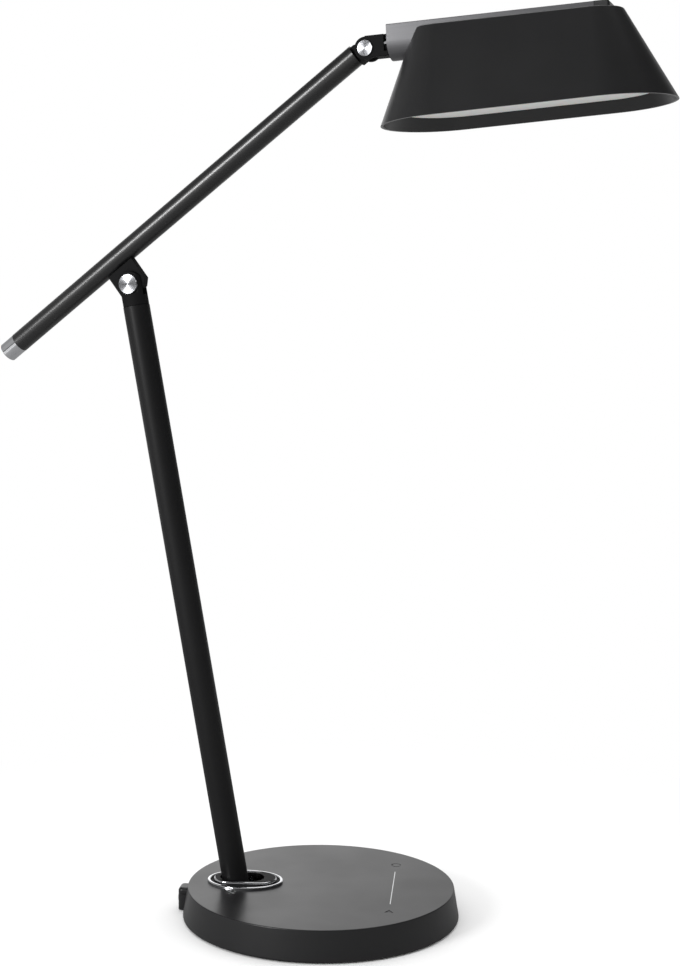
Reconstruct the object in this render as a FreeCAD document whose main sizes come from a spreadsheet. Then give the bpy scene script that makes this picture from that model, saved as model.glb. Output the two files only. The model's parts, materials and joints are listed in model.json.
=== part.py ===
import FreeCAD, Part
import math
import os
from types import SimpleNamespace

import Sketcher

# LED desk lamp: a round weighted base, a lower arm that tilts in a slot of the base, an elbow fork
# that swivels in the top of the lower arm, an upper arm hinged in the fork, and a head that tilts on
# a knuckle and rolls about its spine. Millimetres, +Z up, the origin is the middle of the face that
# the lamp rests on, +X runs from the rear inlet to the touch controls. The pose is the rest pose.

doc = FreeCAD.newDocument("DeskLamp")
sheet = doc.addObject("Spreadsheet::Sheet", "Sizes")

driving_sizes = [
    # base
    ("foot_thickness", 0.8),
    ("foot_inset", 19.0),
    ("base_bottom_radius", 95.0),
    ("base_batter", 3.6),
    ("base_height", 20.4),
    ("base_wall", 2.6),
    ("base_skin", 2.4),
    ("base_top_round", 0.7),
    ("base_bottom_round", 1.2),
    ("plate_thickness", 2.4),
    ("plate_gap", 0.3),
    ("weight_inset", 17.4),
    ("weight_height", 10.0),
    ("yoke_room_length", 50.0),
    ("yoke_room_width", 46.0),
    ("post_inset", 10.4),
    ("post_radius", 3.5),
    ("weight_screw_inset", 22.0),
    ("screw_radius", 1.5),
    ("screw_head_radius", 2.8),
    ("screw_head_height", 1.4),
    ("screw_depth", 8.0),
    ("screw_gap", 0.05),
    # chrome trim round the slot
    ("trim_inset", 38.6),
    ("trim_length", 52.5),
    ("trim_width", 40.0),
    ("trim_floor", 0.6),
    ("trim_bead_width", 2.2),
    ("trim_bead_height", 1.6),
    ("trim_round", 0.7),
    ("collar_length", 43.7),
    ("collar_width", 24.0),
    ("collar_height", 2.9),
    ("collar_round", 1.2),
    ("slot_front", 13.2),
    ("slot_rear", 17.5),
    ("slot_width", 18.8),
    ("skirt_depth", 2.8),
    ("skirt_wall", 2.2),
    ("skirt_gap", 0.15),
    # touch controls and inlet
    ("touch_inset", 42.0),
    ("touch_turn_angle", 1.6),
    ("slider_length", 69.0),
    ("slider_width", 0.6),
    ("ring_y", 49.5),
    ("ring_outer_radius", 3.5),
    ("ring_inner_radius", 2.8),
    ("mode_y", 49.5),
    ("mode_radius", 3.4),
    ("mark_depth", 0.8),
    ("mark_sink", 0.25),
    ("mark_gap", 0.03),
    ("touch_board_length", 105.0),
    ("touch_board_width", 24.0),
    ("touch_board_thickness", 1.6),
    ("chip_length", 7.0),
    ("chip_height", 1.2),
    ("coil_radius", 4.0),
    ("coil_height", 3.0),
    ("component_pitch", 28.0),
    ("port_proud", 4.0),
    ("port_depth", 14.0),
    ("port_width", 13.0),
    ("port_top_drop", 5.0),
    ("port_gap", 0.1),
    ("port_round", 3.0),
    ("port_crown", 2.2),
    ("port_groove_drop", 4.0),
    ("port_groove_height", 0.9),
    ("port_groove_depth", 0.6),
    ("inlet_height", 9.0),
    ("inlet_radius", 4.6),
    ("inlet_bore_radius", 3.15),
    ("inlet_bore_depth", 9.0),
    ("inlet_pin_radius", 1.0),
    ("inlet_pin_length", 7.6),
    ("inlet_pin_root", 1.0),
    ("inlet_length", 12.5),
    # tilt pivot of the lower arm
    ("tilt_offset", -4.9),
    ("tilt_height", 10.6),
    ("lower_lean_angle", 10.0),
    ("pin_radius", 3.0),
    ("running_gap", 0.04),
    ("pin_head_radius", 5.0),
    ("pin_head_height", 2.6),
    ("nut_radius", 5.0),
    ("nut_height", 3.6),
    ("pin_tail", 1.0),
    ("tilt_tongue_width", 11.4),
    ("tilt_tongue_radius", 5.4),
    ("washer_gap", 0.05),
    ("tilt_washer", 0.7),
    ("cheek_thickness", 4.0),
    ("cheek_radius", 6.3),
    ("flange_thickness", 1.6),
    ("flange_length", 40.0),
    ("flange_width", 37.0),
    ("rivet_radius", 2.0),
    ("rivet_head_radius", 3.4),
    ("rivet_head_height", 1.6),
    ("rivet_pitch_x", 28.0),
    ("rivet_pitch_y", 28.8),
    # lower arm
    ("arm_length", 427.15),
    ("lower_tube_radius", 9.0),
    ("lower_tube_wall", 1.5),
    ("lower_tube_start", 8.5),
    ("foot_shoulder", 1.6),
    ("foot_spigot", 24.0),
    ("seat_gap", 0.03),
    ("press_gap", 0.01),
    ("bush_length", 24.0),
    ("lead_radius", 2.2),
    ("lead_gap", 0.1),
    ("lead_end_room", 4.0),
    # elbow fork
    ("swivel_angle", -13.0),
    ("tube_drop", 15.0),
    ("swivel_gap", 0.3),
    ("fork_radius", 8.8),
    ("fork_flat", 12.6),
    ("fork_flat_drop", 6.8),
    ("fork_slot", 6.6),
    ("fork_slot_room", 0.9),
    ("fork_round", 1.0),
    ("spigot_radius", 5.0),
    ("spigot_tail", 3.0),
    ("ring_groove_radius", 4.2),
    ("ring_thickness", 1.0),
    ("ring_gap", 0.1),
    ("swivel_ring_radius", 7.0),
    ("elbow_disc_radius", 6.7),
    ("elbow_disc_height", 1.5),
    ("disc_round", 0.3),
    ("elbow_barrel_radius", 3.0),
    ("elbow_thread_radius", 2.2),
    ("elbow_washer", 0.4),
    ("elbow_washer_radius", 7.0),
    ("barrel_end_gap", 0.4),
    ("thread_depth", 8.0),
    # upper arm
    ("upper_pitch_angle", 27.0),
    ("upper_tube_radius", 7.0),
    ("upper_tube_wall", 1.2),
    ("upper_axis_rise", 20.0),
    ("tube_tail", 94.2),
    ("tail_cap_radius", 6.95),
    ("tail_cap_length", 12.0),
    ("tail_cap_round", 0.7),
    ("tail_spigot", 14.0),
    ("lug_length", 22.0),
    ("lug_drop", 7.0),
    ("lug_corner", 4.1),
    ("lug_round", 0.4),
    ("saddle_gap", 0.02),
    ("peg_radius", 1.5),
    ("peg_pitch", 14.0),
    ("peg_rise", 0.5),
    ("head_reach", 222.6),
    ("head_pivot_drop", 2.25),
    ("tongue_radius", 5.4),
    ("tongue_neck", 2.8),
    ("tongue_neck_height", 5.4),
    ("tongue_spigot", 22.0),
    # knuckle
    ("head_drop_angle", 33.59),
    ("head_roll_angle", -1.9),
    ("knuckle_radius", 7.2),
    ("knuckle_end_gap", 1.3),
    ("knuckle_width", 13.0),
    ("knuckle_slot", 6.6),
    ("knuckle_slot_reach", 6.2),
    ("knuckle_front", 15.2),
    ("knuckle_rise", 7.7),
    ("knuckle_drop", 5.9),
    ("knuckle_round", 0.6),
    ("head_disc_radius", 5.0),
    ("head_disc_height", 1.2),
    ("head_barrel_radius", 2.5),
    ("head_thread_radius", 1.8),
    ("head_washer", 0.3),
    ("head_washer_radius", 5.2),
    ("shaft_radius", 4.0),
    ("shaft_seat", 7.9),
    ("shaft_length", 37.5),
    ("roll_ring_radius", 6.2),
    ("roll_ring_thickness", 1.2),
    ("roll_gap", 0.7),
    ("stop_pin_radius", 1.05),
    ("stop_pin_circle", 6.26),
    ("stop_pin_angle", 162.3),
    ("stop_pin_reach", 3.1),
    ("stop_pin_seat", 5.0),
    ("notch_depth", 3.0),
    ("notch_half_angle", 42.0),
    ("notch_inner_radius", 4.8),
    ("notch_outer_radius", 10.0),
    # spine
    ("spine_half_width", 12.0),
    ("spine_top", 12.2),
    ("spine_centre", 3.1),
    ("spine_wall", 2.2),
    ("spine_round", 0.6),
    ("spine_length", 130.4),
    ("plug_length", 24.0),
    ("cap_length", 9.5),
    ("cap_plug", 6.0),
    ("cap_round", 1.4),
    # shade
    ("shade_top", 8.5),
    ("shade_top_x", 96.72),
    ("shade_top_length", 131.2),
    ("shade_top_width", 34.0),
    ("shade_top_round", 1.2),
    ("rim_x", 100.73),
    ("rim_drop", 49.0),
    ("rim_tilt_angle", 1.07),
    ("rim_length", 185.6),
    ("rim_width", 84.0),
    ("shade_wall", 1.8),
    ("shade_roof", 2.4),
    ("spine_fit", 0.15),
    ("trough_wall", 2.0),
    ("trough_start", 50.0),
    ("boss_radius", 4.5),
    ("boss_setback", 4.0),
    ("boss_pitch", 66.0),
    ("boss_gap", 0.25),
    # light
    ("diffuser_recess", 7.4),
    ("diffuser_thickness", 2.0),
    ("diffuser_length", 160.0),
    ("diffuser_width", 68.4),
    ("diffuser_x", 0.6),
    ("light_inset", 7.5),
    ("diffuser_wall", 1.6),
    ("diffuser_wall_height", 9.5),
    ("tray_thickness", 1.5),
    ("led_board_length", 124.0),
    ("led_board_width", 36.0),
    ("led_board_thickness", 1.4),
    ("led_length", 3.5),
    ("led_width", 2.8),
    ("led_height", 0.7),
    ("led_pitch", 11.6),
    ("led_row_pitch", 20.0),
    ("tray_screw_radius", 2.0),
    ("tray_screw_head_radius", 3.5),
    ("tray_screw_head_height", 1.8),
    ("tray_screw_gap", 0.3),
    ("tray_screw_grip", 3.0),
]
leds_per_row = 10


class Size:
    # A size of the lamp: its formula over the sheet's cells and its present number

    def __init__(self, text, number):
        self.text = text
        self.number = number

    @staticmethod
    def of(value):
        if isinstance(value, Size):
            return value
        return Size(repr(float(value)), float(value))

    def __add__(self, other):
        other = Size.of(other)
        return Size("(%s + %s)" % (self.text, other.text), self.number + other.number)

    def __sub__(self, other):
        other = Size.of(other)
        return Size("(%s - %s)" % (self.text, other.text), self.number - other.number)

    def __mul__(self, other):
        other = Size.of(other)
        return Size("(%s * %s)" % (self.text, other.text), self.number * other.number)

    def __truediv__(self, other):
        other = Size.of(other)
        return Size("(%s / %s)" % (self.text, other.text), self.number / other.number)

    def __neg__(self):
        return Size("(0 - %s)" % self.text, -self.number)


def sine(angle):
    return Size("sin(%s)" % angle.text, math.sin(math.radians(angle.number)))


def cosine(angle):
    return Size("cos(%s)" % angle.text, math.cos(math.radians(angle.number)))


def tangent(angle):
    return Size("tan(%s)" % angle.text, math.tan(math.radians(angle.number)))


d = SimpleNamespace()
for row, (name, value) in enumerate(driving_sizes, start=1):
    sheet.set("A%d" % row, name)
    sheet.set("B%d" % row, str(value))
    sheet.setAlias("B%d" % row, name)
    setattr(d, name, Size("Sizes." + name, value))
doc.recompute()

x_axis = FreeCAD.Vector(1, 0, 0)
y_axis = FreeCAD.Vector(0, 1, 0)
z_axis = FreeCAD.Vector(0, 0, 1)
nodes = {}


def shift(x=0, y=0, z=0):
    place = [Size.of(value).number for value in (x, y, z)]
    return FreeCAD.Placement(FreeCAD.Vector(*place), FreeCAD.Rotation())


def turn(axis, angle):
    return FreeCAD.Placement(FreeCAD.Vector(), FreeCAD.Rotation(axis, Size.of(angle).number))


def keep(obj, label, frame):
    obj.Label = label
    obj.Placement = frame
    nodes[label] = obj
    return obj


# Sketch helpers: every measure of a sketch is bound to the sheet


def new_body(label):
    return doc.addObject("PartDesign::Body", label)


def new_sketch(body, role, x=0, y=0, z=0, tilt=None, tilt_axis=y_axis):
    sketch = body.newObject("Sketcher::SketchObject", "Sketch")
    plane = [feature for feature in body.Origin.OriginFeatures if feature.Role == role][0]
    sketch.AttachmentSupport = [(plane, "")]
    sketch.MapMode = "FlatFace"
    if tilt is not None:
        sketch.AttachmentOffset = turn(tilt_axis, tilt)
        sketch.setExpression("AttachmentOffset.Rotation.Angle", tilt.text)
    for axis, value in zip("xyz", (x, y, z)):
        sketch.setExpression("AttachmentOffset.Base." + axis, Size.of(value).text)
    return sketch


def hold(sketch, geometry, point, x, y):
    for kind, axis, value in (("DistanceX", -2, Size.of(x)), ("DistanceY", -1, Size.of(y))):
        if value.text == "0.0":
            sketch.addConstraint(Sketcher.Constraint("PointOnObject", geometry, point, axis))
            continue
        index = sketch.addConstraint(Sketcher.Constraint(kind, -1, 1, geometry, point, value.number))
        sketch.setExpression("Constraints[%d]" % index, value.text)


def set_radius(sketch, geometry, radius):
    index = sketch.addConstraint(Sketcher.Constraint("Radius", geometry, radius.number))
    sketch.setExpression("Constraints[%d]" % index, radius.text)


def vector(x, y):
    return FreeCAD.Vector(Size.of(x).number, Size.of(y).number, 0)


def circle(sketch, radius, x=0, y=0):
    geometry = sketch.addGeometry(Part.Circle(vector(x, y), z_axis, radius.number))
    hold(sketch, geometry, 3, x, y)
    set_radius(sketch, geometry, radius)


def polygon(sketch, points):
    first = sketch.GeometryCount
    count = len(points)
    for index in range(count):
        start = vector(*points[index])
        end = vector(*points[(index + 1) % count])
        sketch.addGeometry(Part.LineSegment(start, end))
    for index in range(count):
        following = first + (index + 1) % count
        sketch.addConstraint(Sketcher.Constraint("Coincident", first + index, 2, following, 1))
        hold(sketch, first + index, 1, *points[index])


def rectangle(sketch, length, width, x=0, y=0):
    x = Size.of(x)
    y = Size.of(y)
    polygon(sketch, [(x - length / 2, y - width / 2), (x + length / 2, y - width / 2),
                     (x + length / 2, y + width / 2), (x - length / 2, y + width / 2)])


def stadium(sketch, length, width, x=0, y=0):
    # Two half circles joined by straight sides along the sketch's X
    x = Size.of(x)
    half = (length - width) / 2
    radius = width / 2
    low = Size.of(y).number - radius.number
    high = Size.of(y).number + radius.number
    left = (x - half).number
    right = (x + half).number
    bottom_line = Part.LineSegment(FreeCAD.Vector(left, low, 0), FreeCAD.Vector(right, low, 0))
    top_line = Part.LineSegment(FreeCAD.Vector(right, high, 0), FreeCAD.Vector(left, high, 0))
    quarter = math.pi / 2
    right_circle = Part.Circle(vector(right, y), z_axis, radius.number)
    left_circle = Part.Circle(vector(left, y), z_axis, radius.number)
    bottom = sketch.addGeometry(bottom_line)
    right_arc = sketch.addGeometry(Part.ArcOfCircle(right_circle, -quarter, quarter))
    top = sketch.addGeometry(top_line)
    left_arc = sketch.addGeometry(Part.ArcOfCircle(left_circle, quarter, 3 * quarter))
    hold(sketch, right_arc, 3, x + half, y)
    hold(sketch, left_arc, 3, x - half, y)
    set_radius(sketch, right_arc, radius)
    set_radius(sketch, left_arc, radius)
    for first, second in ((bottom, right_arc), (right_arc, top), (top, left_arc), (left_arc, bottom)):
        sketch.addConstraint(Sketcher.Constraint("Tangent", first, 2, second, 1))


def arch(sketch, half, flat, centre, hollow=False):
    # A straight side at the height flat, upright sides and a half circle of radius half about the
    # height centre. Hollow turns the half circle towards the straight side
    flat = Size.of(flat)
    centre = Size.of(centre)
    up = 1 if (flat.number < centre.number) != hollow else -1
    corner_right = vector(half, flat)
    corner_left = vector(-half, flat)
    foot_right = vector(half, centre)
    foot_left = vector(-half, centre)
    flat_line = sketch.addGeometry(Part.LineSegment(corner_left, corner_right))
    right = sketch.addGeometry(Part.LineSegment(corner_right, foot_right))
    left = sketch.addGeometry(Part.LineSegment(foot_left, corner_left))
    base = Part.Circle(vector(0, centre), z_axis, half.number)
    start = 0 if up > 0 else math.pi
    curve = sketch.addGeometry(Part.ArcOfCircle(base, start, start + math.pi))
    sketch.addConstraint(Sketcher.Constraint("Coincident", flat_line, 2, right, 1))
    sketch.addConstraint(Sketcher.Constraint("Coincident", left, 2, flat_line, 1))
    hold(sketch, flat_line, 1, -half, flat)
    hold(sketch, flat_line, 2, half, flat)
    hold(sketch, curve, 3, 0, centre)
    set_radius(sketch, curve, half)
    right_end, left_end = (1, 2) if up > 0 else (2, 1)
    sketch.addConstraint(Sketcher.Constraint("Tangent", right, 2, curve, right_end))
    sketch.addConstraint(Sketcher.Constraint("Tangent", left, 1, curve, left_end))


def grow(body, kind, sketch, length, symmetric=False, reverse=False):
    feature = body.newObject("PartDesign::" + kind, kind)
    feature.Profile = sketch
    feature.Reversed = reverse
    if symmetric:
        feature.SideType = "Symmetric"
    feature.setExpression("Length", Size.of(length).text)
    doc.recompute()
    return feature


def pad(body, sketch, length, symmetric=False, reverse=False):
    return grow(body, "Pad", sketch, length, symmetric, reverse)


def pocket(body, sketch, length, symmetric=False, reverse=False):
    before = body.Shape.Volume
    feature = grow(body, "Pocket", sketch, length, symmetric, reverse)
    if not body.Shape.Volume < before:
        raise ValueError("a pocket of %s cuts nothing" % body.Label)
    return feature


def loft(body, kind, first, second):
    feature = body.newObject("PartDesign::" + kind, kind)
    feature.Profile = first
    feature.Sections = [second]
    feature.Ruled = True
    doc.recompute()
    return feature


def fillet(body, base, radius, wanted):
    names = []
    for index, edge in enumerate(base.Shape.Edges, start=1):
        if wanted(edge):
            names.append("Edge%d" % index)
    feature = body.newObject("PartDesign::Fillet", "Fillet")
    feature.Base = (base, names)
    feature.setExpression("Radius", radius.text)
    doc.recompute()
    return feature


def round_edge_at(radius, height, axis=z_axis):
    # Picks the round edges of one radius at one height along the axis
    def wanted(edge):
        curve = edge.Curve
        if not isinstance(curve, Part.Circle):
            return False
        same = abs(curve.Radius - Size.of(radius).number) < 1e-4
        return same and abs(curve.Center.dot(axis) - Size.of(height).number) < 1e-4
    return wanted


def flat_edge_at(height, axis=z_axis):
    # Picks every edge that lies wholly at one height along the axis
    def wanted(edge):
        level = Size.of(height).number
        box = edge.BoundBox
        low = FreeCAD.Vector(box.XMin, box.YMin, box.ZMin).dot(axis)
        high = FreeCAD.Vector(box.XMax, box.YMax, box.ZMax).dot(axis)
        return abs(low - level) < 1e-4 and abs(high - level) < 1e-4
    return wanted


# Plain solids of one step


def rod(radius, length, x=0, y=0, z=0, along=z_axis):
    obj = doc.addObject("Part::Cylinder", "Rod")
    obj.setExpression("Radius", Size.of(radius).text)
    obj.setExpression("Height", Size.of(length).text)
    obj.Placement = FreeCAD.Placement(FreeCAD.Vector(), FreeCAD.Rotation(z_axis, along))
    for axis, value in zip("xyz", (x, y, z)):
        obj.setExpression("Placement.Base." + axis, Size.of(value).text)
    return obj


def block(length, width, height, x=0, y=0, z=0):
    # Centred on x and y, standing on z
    obj = doc.addObject("Part::Box", "Block")
    obj.setExpression("Length", Size.of(length).text)
    obj.setExpression("Width", Size.of(width).text)
    obj.setExpression("Height", Size.of(height).text)
    obj.setExpression("Placement.Base.x", (Size.of(x) - Size.of(length) / 2).text)
    obj.setExpression("Placement.Base.y", (Size.of(y) - Size.of(width) / 2).text)
    obj.setExpression("Placement.Base.z", Size.of(z).text)
    return obj


def cut(base, tool):
    obj = doc.addObject("Part::Cut", "Cut")
    obj.Base = base
    obj.Tool = tool
    return obj


def fuse(parts):
    obj = doc.addObject("Part::MultiFuse", "Fuse")
    obj.Shapes = parts
    return obj


def group(parts):
    obj = doc.addObject("Part::Compound", "Group")
    obj.Links = parts
    return obj


def washer(outer, inner, thickness, x=0, y=0, z=0, along=z_axis):
    return cut(rod(outer, thickness, x, y, z, along), rod(inner, thickness, x, y, z, along))


def round_bar(label, frame, role, outer, inner, start, length, x=0, y=0):
    # A tube, or a rod where there is no inner radius, along the plane's normal
    body = new_body(label)
    sketch = new_sketch(body, role, x, y, start)
    circle(sketch, outer)
    if inner is not None:
        circle(sketch, inner)
    pad(body, sketch, length)
    return keep(body, label, frame)


# Frames of the moving bodies at rest

base_frame = shift()
base_top = d.foot_thickness + d.base_height
plate_top = d.foot_thickness + d.plate_thickness
top_radius = d.base_bottom_radius - d.base_batter
trim_x = d.trim_inset - top_radius
tilt_x = trim_x + d.tilt_offset
head_pivot_rise = d.upper_axis_rise - d.head_pivot_drop
lower_frame = shift(tilt_x, 0, d.tilt_height) * turn(y_axis, -d.lower_lean_angle)
fork_frame = lower_frame * shift(0, 0, d.arm_length) * turn(z_axis, d.swivel_angle)
upper_frame = fork_frame * turn(y_axis, -d.upper_pitch_angle)
head_frame = upper_frame * shift(d.head_reach, 0, head_pivot_rise) * turn(y_axis, d.head_drop_angle)
roll_frame = head_frame * turn(x_axis, d.head_roll_angle)
light_frame = roll_frame * shift(d.rim_x, 0, -d.rim_drop) * turn(y_axis, -d.rim_tilt_angle)

# Base shell: a shallow cover with a sloped wall, posts for its screws, the trim's opening, the
# inlet's notch and the pockets of the touch marks

skin_under = base_top - d.base_skin
wall_lean = d.base_batter / d.base_height
shell_inner_bottom = d.base_bottom_radius - d.base_wall
shell_inner_top = top_radius - d.base_wall + wall_lean * d.base_skin
plate_radius = shell_inner_bottom - wall_lean * d.plate_thickness - d.plate_gap
weight_radius = top_radius - d.weight_inset
touch_x = top_radius - d.touch_inset
port_reach = d.base_bottom_radius + d.port_proud
skirt_length = d.slot_front + d.slot_rear + d.skirt_wall * 2
skirt_width = d.slot_width + d.skirt_wall * 2
slot_x = trim_x + (d.slot_front - d.slot_rear) / 2
port_top = base_top - d.port_top_drop


def places_round(circle_radius, angles):
    places = []
    for angle in angles:
        turn_angle = math.radians(angle)
        places.append((circle_radius * math.cos(turn_angle), circle_radius * math.sin(turn_angle)))
    return places


shell_posts = places_round(top_radius - d.post_inset, (20, 130, 230, 340))
weight_posts = places_round(weight_radius - d.weight_screw_inset, (0, 120, 240))


def mark_sketch(body, sink):
    # On the base's top, turned a little about the middle of the marks
    return new_sketch(body, "XY_Plane", x=touch_x, z=base_top - sink, tilt=d.touch_turn_angle,
                      tilt_axis=z_axis)


def slider_outline(sketch, gap):
    rectangle(sketch, d.slider_width + gap * 2, d.slider_length + gap * 2)


def ring_outline(sketch, gap):
    circle(sketch, d.ring_outer_radius + gap, 0, d.ring_y)
    circle(sketch, d.ring_inner_radius - gap, 0, d.ring_y)


def mode_outline(sketch, gap):
    reach = d.mode_radius + gap * 2
    half = reach * math.sqrt(3) / 2
    low = -d.mode_y - reach / 2
    polygon(sketch, [(0, reach - d.mode_y), (-half, low), (half, low)])


# The slider lies flush with the base's top, the ring and the mode mark a little below it
mark_outlines = [(slider_outline, Size.of(0)), (ring_outline, d.mark_sink), (mode_outline, d.mark_sink)]


def base_shell():
    body = new_body("base_shell")
    profile = new_sketch(body, "XZ_Plane")
    polygon(profile, [(0, skin_under), (shell_inner_top, skin_under),
                      (shell_inner_bottom, d.foot_thickness),
                      (d.base_bottom_radius, d.foot_thickness),
                      (top_radius, base_top), (0, base_top)])
    cover = body.newObject("PartDesign::Revolution", "Cover")
    cover.Profile = profile
    cover.ReferenceAxis = (profile, ["V_Axis"])
    doc.recompute()
    rounded = fillet(body, cover, d.base_top_round, round_edge_at(top_radius, base_top))
    fillet(body, rounded, d.base_bottom_round, round_edge_at(d.base_bottom_radius, d.foot_thickness))
    posts = new_sketch(body, "XY_Plane", z=plate_top)
    for x, y in shell_posts:
        circle(posts, d.post_radius, x, y)
    pad(body, posts, skin_under - plate_top + d.base_skin / 2)
    bores = new_sketch(body, "XY_Plane", z=plate_top)
    for x, y in shell_posts:
        circle(bores, d.screw_radius + d.screw_gap, x, y)
    pocket(body, bores, d.screw_depth + d.screw_gap, reverse=True)
    opening = new_sketch(body, "XY_Plane", x=slot_x, z=base_top)
    stadium(opening, skirt_length + d.skirt_gap * 2, skirt_width + d.skirt_gap * 2)
    pocket(body, opening, d.base_skin)
    marks = mark_sketch(body, Size.of(0))
    for outline, _ in mark_outlines:
        outline(marks, d.mark_gap)
    pocket(body, marks, d.mark_depth)
    notch = new_sketch(body, "YZ_Plane", z=-d.base_bottom_radius - d.port_depth)
    notch_height = port_top + d.port_gap - d.foot_thickness
    rectangle(notch, d.port_width + d.port_gap * 2, notch_height, 0, d.foot_thickness + notch_height / 2)
    notch_reach = d.base_bottom_radius - port_reach + d.port_depth * 2 + d.port_gap
    pocket(body, notch, notch_reach, reverse=True)
    keep(body, "base_shell", base_frame)


def base_plate():
    body = new_body("base_plate")
    disc = new_sketch(body, "XY_Plane", z=d.foot_thickness)
    circle(disc, plate_radius)
    pad(body, disc, d.plate_thickness)
    holes = new_sketch(body, "XY_Plane", z=d.foot_thickness)
    heads = new_sketch(body, "XY_Plane", z=d.foot_thickness)
    for x, y in shell_posts + weight_posts:
        circle(holes, d.screw_radius + d.screw_gap, x, y)
        circle(heads, d.screw_head_radius + d.screw_gap, x, y)
    for x, y in rivet_places:
        circle(holes, d.rivet_radius + d.screw_gap, x, y)
    pocket(body, holes, d.plate_thickness, reverse=True)
    pocket(body, heads, d.screw_head_height + d.screw_gap, reverse=True)
    keep(body, "base_plate", base_frame)


def base_weight():
    body = new_body("base_weight")
    disc = new_sketch(body, "XY_Plane", z=plate_top)
    circle(disc, weight_radius)
    pad(body, disc, d.weight_height)
    room = new_sketch(body, "XY_Plane", z=plate_top)
    rectangle(room, d.yoke_room_length, d.yoke_room_width, tilt_x, 0)
    pocket(body, room, d.weight_height, reverse=True)
    bores = new_sketch(body, "XY_Plane", z=plate_top)
    for x, y in weight_posts:
        circle(bores, d.screw_radius + d.screw_gap, x, y)
    pocket(body, bores, d.screw_depth + d.screw_gap, reverse=True)
    keep(body, "base_weight", base_frame)


def screws(label, places):
    parts = []
    seat = d.foot_thickness + d.screw_gap
    head_top = seat + d.screw_head_height - d.screw_gap
    shank = plate_top + d.screw_depth - head_top
    for x, y in places:
        head = rod(d.screw_head_radius, d.screw_head_height - d.screw_gap, x, y, seat)
        parts.append(fuse([head, rod(d.screw_radius, shank, x, y, head_top)]))
    keep(group(parts), label, base_frame)


def oval(length, width, start, height):
    outline = doc.addObject("Part::Ellipse", "Outline")
    outline.setExpression("MajorRadius", (length / 2).text)
    outline.setExpression("MinorRadius", (width / 2).text)
    outline.setExpression("Placement.Base.x", trim_x.text)
    outline.setExpression("Placement.Base.z", start.text)
    obj = doc.addObject("Part::Extrusion", "Oval")
    obj.Base = outline
    obj.DirMode = "Custom"
    obj.Dir = z_axis
    obj.Solid = True
    obj.setExpression("LengthFwd", height.text)
    return obj


def slot_trim():
    # An oval dish with a round bead, a raised collar and a skirt that locates it in the shell, all
    # round one slot
    dish = cut(oval(d.trim_length, d.trim_width, base_top, d.trim_bead_height),
               oval(d.trim_length - d.trim_bead_width * 2, d.trim_width - d.trim_bead_width * 2,
                    base_top + d.trim_floor, d.trim_bead_height))
    doc.recompute()
    soft_dish = round_part(dish, d.trim_round, flat_edge_at(base_top + d.trim_bead_height))
    body = new_body("Collar")
    raised = new_sketch(body, "XY_Plane", x=trim_x, z=base_top)
    stadium(raised, d.collar_length, d.collar_width)
    collar = pad(body, raised, d.collar_height)
    fillet(body, collar, d.collar_round, flat_edge_at(base_top + d.collar_height))
    skirt = new_sketch(body, "XY_Plane", x=slot_x, z=base_top)
    stadium(skirt, skirt_length, skirt_width)
    pad(body, skirt, d.skirt_depth, reverse=True)
    whole = fuse([soft_dish, body])
    slot_body = new_body("Slot")
    slot = new_sketch(slot_body, "XY_Plane", x=slot_x, z=base_top - d.skirt_depth)
    stadium(slot, d.slot_front + d.slot_rear, d.slot_width)
    pad(slot_body, slot, d.skirt_depth + d.collar_height)
    keep(cut(whole, slot_body), "slot_trim", base_frame)


def round_part(base, radius, wanted):
    obj = doc.addObject("Part::Fillet", "Rounded")
    obj.Base = base
    picked = []
    for index, edge in enumerate(base.Shape.Edges, start=1):
        if wanted(edge):
            picked.append((index, radius.number, radius.number))
    obj.Edges = picked
    doc.recompute()
    return obj


def touch_controls():
    inlays = []
    for outline, sink in mark_outlines:
        inlay = new_body("Inlay")
        sketch = mark_sketch(inlay, sink)
        outline(sketch, Size.of(0))
        pad(inlay, sketch, d.mark_depth - sink, reverse=True)
        inlays.append(inlay)
    keep(group(inlays), "touch_marks", base_frame)
    board_under = skin_under - d.touch_board_thickness
    board = new_body("touch_board")
    outline = new_sketch(board, "XY_Plane", x=touch_x, z=board_under)
    rectangle(outline, d.touch_board_width, d.touch_board_length)
    pad(board, outline, d.touch_board_thickness)
    keep(board, "touch_board", base_frame)
    chip = block(d.chip_length, d.chip_length, d.chip_height, touch_x, 0, board_under - d.chip_height)
    coil = rod(d.coil_radius, d.coil_height, touch_x, d.component_pitch, board_under - d.coil_height)
    store = rod(d.coil_radius, d.coil_height, touch_x, -d.component_pitch, board_under - d.coil_height)
    keep(group([chip, coil, store]), "board_components", base_frame)


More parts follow.
